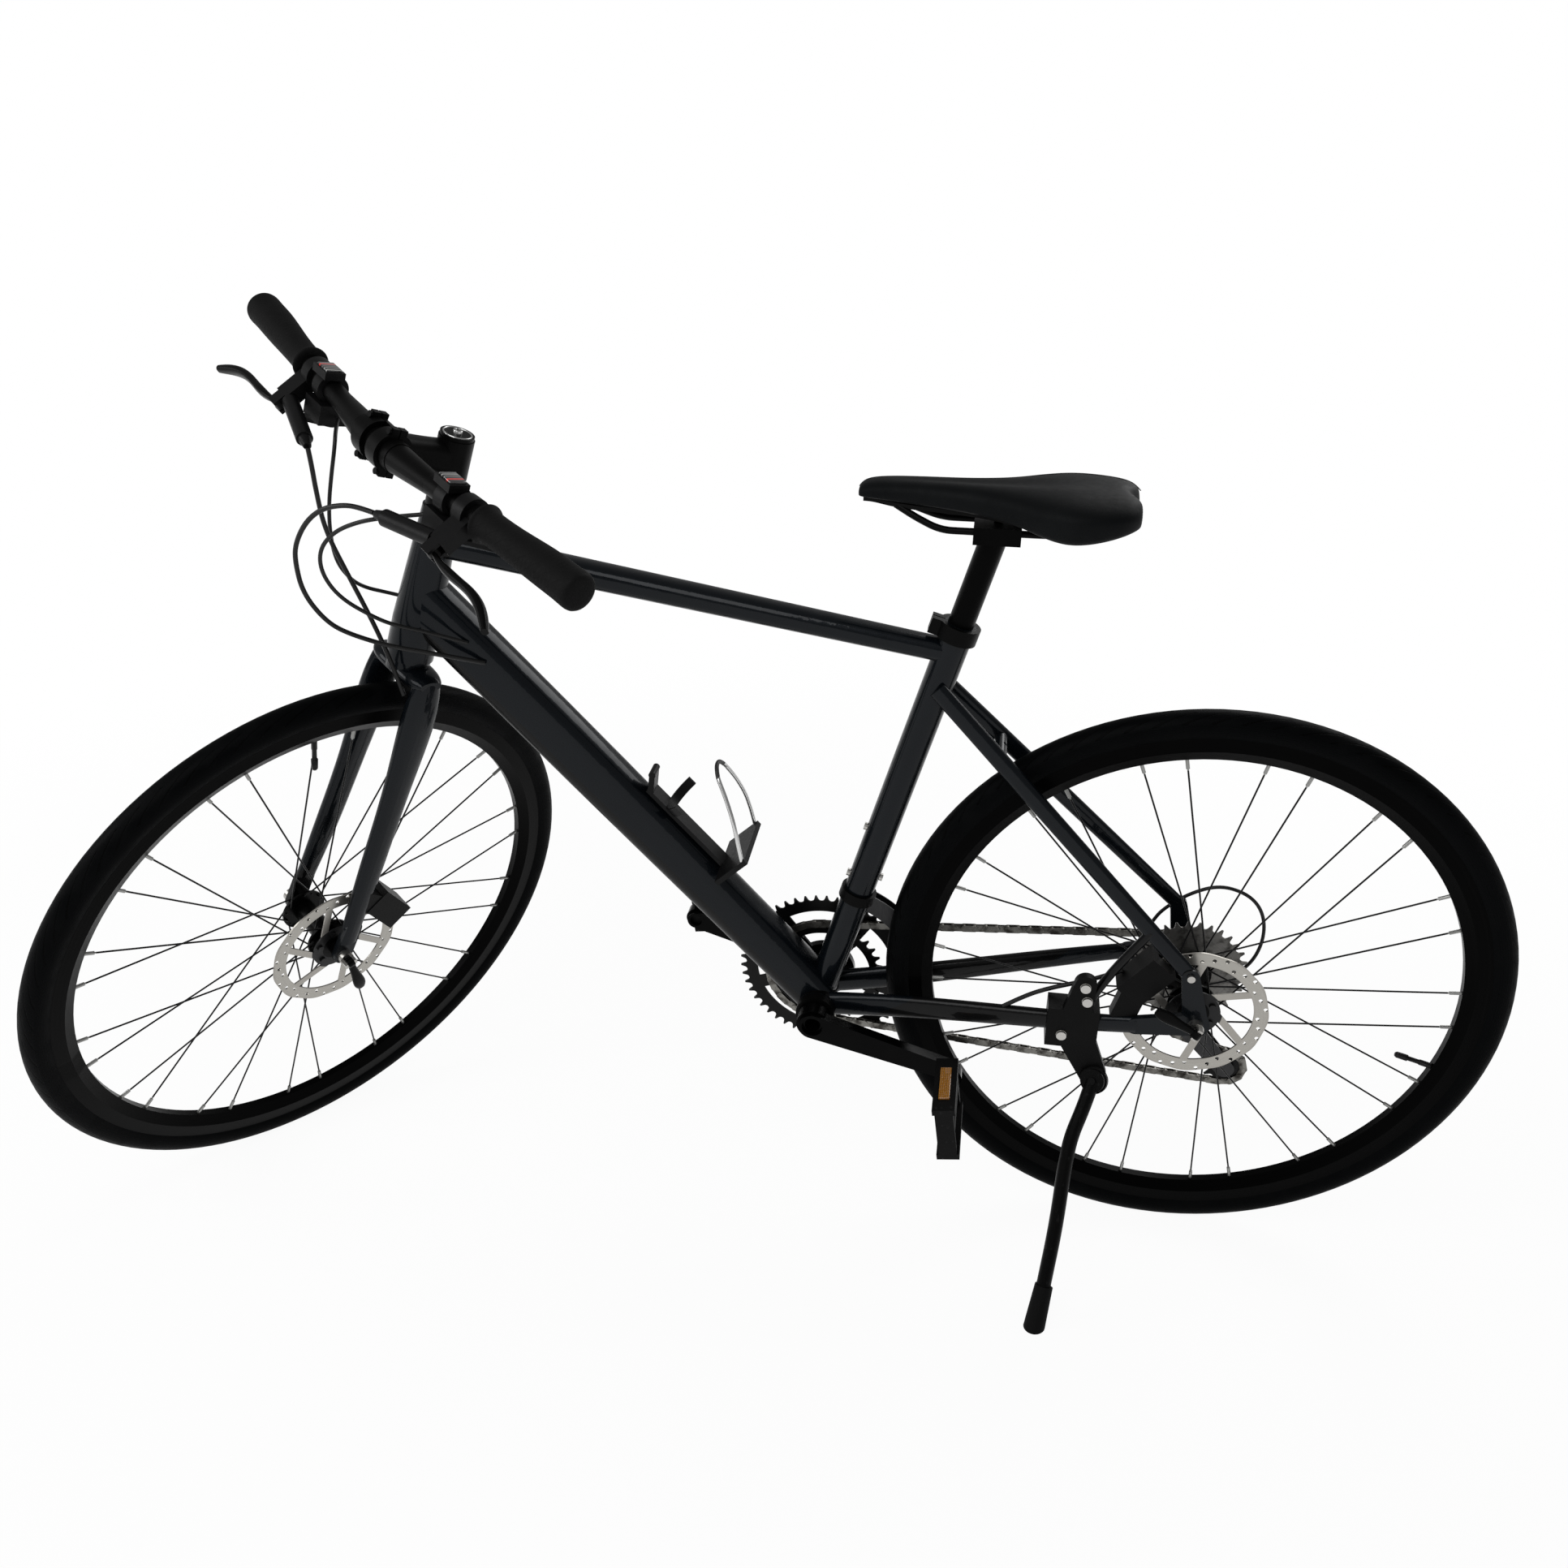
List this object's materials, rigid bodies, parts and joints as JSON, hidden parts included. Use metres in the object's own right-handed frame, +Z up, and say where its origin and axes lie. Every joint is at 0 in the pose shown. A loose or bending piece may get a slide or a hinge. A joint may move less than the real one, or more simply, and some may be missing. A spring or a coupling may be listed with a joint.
{
  "type": "hybrid bicycle",
  "caption": "Flat-bar hybrid bicycle with disc brakes, derailleur gears and a bottle cage, leaning on its kickstand with the front wheel turned.",
  "frame": {"origin": "centre of the bounding box on the ground plane", "axes": "+X to the front of the bike, +Y to its left, +Z up; the bike leans to its left on the kickstand"},
  "size_m": [1.5891, 0.5864, 1.0414],
  "materials": {
    "frame_paint": "gloss",
    "black_metal": "satin",
    "black_steel": "satin",
    "steel": "brushed",
    "ring_alloy": "satin",
    "black_plastic": "matte",
    "grip_rubber": "matte",
    "tyre": "matte",
    "saddle": "satin"
  },
  "bodies": {
    "frame": {"head_tube": "frame_paint", "top_tube": "frame_paint", "down_tube": "frame_paint", "seat_tube": "frame_paint", "bottom_bracket": "black_metal", "chainstays": "frame_paint", "seatstays": "frame_paint", "seat_tube_clamps": "black_metal", "bottle_cage": "black_plastic", "bottle_cage_wire": "steel", "frame_bolts": "steel", "kickstand_mount": "black_metal", "rear_brake_caliper": "black_metal", "chain": "steel", "rear_cables": "grip_rubber", "steering_cables": "grip_rubber", "rear_derailleur_knuckle": "black_metal"},
    "seat": {"seatpost": "black_metal", "saddle_shell": "black_plastic", "saddle_rails": "black_steel", "saddle_cover": "saddle"},
    "steering": {"fork": "frame_paint", "stem": "black_metal", "handlebar": "black_metal", "grips": "grip_rubber", "control_bodies": "black_plastic", "front_brake_caliper": "black_metal", "front_brake_hose": "grip_rubber", "front_axle_set": "steel"},
    "front_wheel": {"front_tyre": "tyre", "front_rim": "black_metal", "front_spokes": "black_steel", "front_hub": "black_metal", "front_rotor": "steel"},
    "rear_wheel": {"rear_tyre": "tyre", "rear_rim": "black_metal", "rear_spokes": "black_steel", "rear_hub": "black_metal", "rear_rotor": "steel"},
    "crank": {"right_crank": "black_metal", "chainrings": "ring_alloy", "left_crank": "black_metal"},
    "cassette": {"cassette": "steel"},
    "left_pedal": {"left_pedal": "black_plastic"},
    "right_pedal": {"right_pedal": "black_plastic"},
    "left_brake_lever": {"left_brake_lever": "black_metal"},
    "right_brake_lever": {"right_brake_lever": "black_metal"},
    "left_shift_lever": {"left_shift_lever": "black_plastic"},
    "right_shift_lever": {"right_shift_lever": "black_plastic"},
    "left_release_lever": {"left_release_lever": "black_plastic"},
    "right_release_lever": {"right_release_lever": "black_plastic"},
    "front_derailleur_cage": {"front_derailleur_cage": "steel"},
    "rear_derailleur_link": {"rear_derailleur_link": "black_metal"},
    "rear_derailleur_p_knuckle": {"rear_derailleur_p_knuckle": "black_metal"},
    "rear_derailleur_cage": {"rear_derailleur_cage": "steel"},
    "upper_pulley": {"upper_pulley": "black_plastic"},
    "lower_pulley": {"lower_pulley": "black_plastic"},
    "kickstand_leg": {"kickstand_leg": "black_metal"},
    "front_qr_lever": {"front_qr_lever": "black_metal"},
    "rear_qr_lever": {"rear_qr_lever": "black_metal"}
  },
  "joints": [
    {"name": "steering_turn", "type": "hinge", "parent": "frame", "child": "steering", "pos_m": [0.43132, 0.00425, 0.67793], "axis": [-0.3134, 0.1157, 0.9426], "range_deg": [-115, 4], "deforming": ["steering_cables"]},
    {"name": "front_wheel_spin", "type": "hinge", "parent": "steering", "child": "front_wheel", "pos_m": [0.57506, 0, 0.32521], "axis": [-0.7827, 0.5305, -0.3254], "continuous": true},
    {"name": "rear_wheel_spin", "type": "hinge", "parent": "frame", "child": "rear_wheel", "pos_m": [-0.45157, -0.0374, 0.34056], "axis": [-0.0003, 0.9925, -0.1219], "continuous": true},
    {"name": "crank_spin", "type": "hinge", "parent": "frame", "child": "crank", "pos_m": [-0.03182, -0.04482, 0.27929], "axis": [-0.0003, 0.9925, -0.1219], "continuous": true, "deforming": ["chain"]},
    {"name": "cassette_spin", "type": "hinge", "parent": "frame", "child": "cassette", "pos_m": [-0.45157, -0.0374, 0.34056], "axis": [-0.0003, 0.9925, -0.1219], "continuous": true},
    {"name": "left_pedal_spin", "type": "hinge", "parent": "crank", "child": "left_pedal", "pos_m": [-0.1935, -0.05042, 0.23399], "axis": [-0.0003, 0.9925, -0.1219], "continuous": true},
    {"name": "right_pedal_spin", "type": "hinge", "parent": "crank", "child": "right_pedal", "pos_m": [0.12986, -0.03921, 0.32458], "axis": [-0.0003, 0.9925, -0.1219], "continuous": true},
    {"name": "left_brake", "type": "hinge", "parent": "steering", "child": "left_brake_lever", "pos_m": [0.311, 0.20863, 0.84241], "axis": [0.2008, 0.6443, 0.7379], "range_deg": [0, 20], "stiffness_Nm_per_rad": 0.8, "springref_deg": -5.73},
    {"name": "left_shift", "type": "hinge", "parent": "steering", "child": "left_shift_lever", "pos_m": [0.30925, 0.15839, 0.84686], "axis": [0.3134, -0.1157, -0.9426], "range_deg": [0, 30], "stiffness_Nm_per_rad": 0.2, "springref_deg": -5.73},
    {"name": "left_release", "type": "hinge", "parent": "steering", "child": "left_release_lever", "pos_m": [0.30925, 0.15839, 0.84686], "axis": [-0.3134, 0.1157, 0.9426], "range_deg": [0, 15], "stiffness_Nm_per_rad": 0.2, "springref_deg": -5.73},
    {"name": "right_brake", "type": "hinge", "parent": "steering", "child": "right_brake_lever", "pos_m": [0.54426, 0.02068, 0.94303], "axis": [-0.2008, -0.6443, -0.7379], "range_deg": [0, 20], "stiffness_Nm_per_rad": 0.8, "springref_deg": -5.73},
    {"name": "right_shift", "type": "hinge", "parent": "steering", "child": "right_shift_lever", "pos_m": [0.49821, 0.00613, 0.92837], "axis": [-0.3134, 0.1157, 0.9426], "range_deg": [0, 30], "stiffness_Nm_per_rad": 0.2, "springref_deg": -5.73},
    {"name": "right_release", "type": "hinge", "parent": "steering", "child": "right_release_lever", "pos_m": [0.49821, 0.00613, 0.92837], "axis": [0.3134, -0.1157, -0.9426], "range_deg": [0, 15], "stiffness_Nm_per_rad": 0.2, "springref_deg": -5.73},
    {"name": "front_derailleur_shift", "type": "slide", "parent": "frame", "child": "front_derailleur_cage", "axis": [-0.0003, 0.9925, -0.1219], "range_m": [-0.0063, 0.0005], "deforming": ["chain"]},
    {"name": "rear_derailleur_shift", "type": "hinge", "parent": "frame", "child": "rear_derailleur_link", "pos_m": [-0.48671, -0.11199, 0.30957], "axis": [0.5627, 0.7865, 0.2546], "range_deg": [-40, 35], "deforming": ["chain"]},
    {"name": "rear_derailleur_level", "type": "hinge", "parent": "rear_derailleur_link", "child": "rear_derailleur_p_knuckle", "pos_m": [-0.46684, -0.1159, 0.27772], "axis": [0.5627, 0.7865, 0.2546], "range_deg": [-35, 40]},
    {"name": "rear_derailleur_tension", "type": "hinge", "parent": "rear_derailleur_p_knuckle", "child": "rear_derailleur_cage", "pos_m": [-0.4639, -0.08945, 0.26338], "axis": [-0.0003, 0.9925, -0.1219], "range_deg": [-45, 25], "stiffness_Nm_per_rad": 1, "deforming": ["chain"]},
    {"name": "upper_pulley_spin", "type": "hinge", "parent": "rear_derailleur_cage", "child": "upper_pulley", "pos_m": [-0.4639, -0.08945, 0.26338], "axis": [-0.0003, 0.9925, -0.1219], "continuous": true},
    {"name": "lower_pulley_spin", "type": "hinge", "parent": "rear_derailleur_cage", "child": "lower_pulley", "pos_m": [-0.51765, -0.09684, 0.20324], "axis": [-0.0003, 0.9925, -0.1219], "continuous": true},
    {"name": "kickstand_fold", "type": "hinge", "parent": "frame", "child": "kickstand_leg", "pos_m": [-0.35092, 0.03806, 0.24927], "axis": [0.2571, 0.8584, 0.4438], "range_deg": [0, 95]},
    {"name": "front_quick_release", "type": "hinge", "parent": "steering", "child": "front_qr_lever", "pos_m": [0.51925, 0.03783, 0.30201], "axis": [0.621, 0.6999, -0.3528], "range_deg": [0, 180]},
    {"name": "rear_quick_release", "type": "hinge", "parent": "frame", "child": "rear_qr_lever", "pos_m": [-0.45159, 0.05074, 0.32974], "axis": [-0.4964, 0.1057, 0.8616], "range_deg": [0, 180]},
    {"name": "seatpost_height", "type": "slide", "parent": "frame", "child": "seat", "axis": [-0.27, 0.1173, 0.9557], "range_m": [-0.05, 0.08]}
  ],
  "couplings": [
    {"joint": "cassette_spin", "follows": "crank_spin", "ratio": 1.7},
    {"joint": "upper_pulley_spin", "follows": "crank_spin", "ratio": -3.0909},
    {"joint": "lower_pulley_spin", "follows": "crank_spin", "ratio": 3.0909},
    {"joint": "rear_derailleur_level", "follows": "rear_derailleur_shift", "ratio": -1}
  ]
}
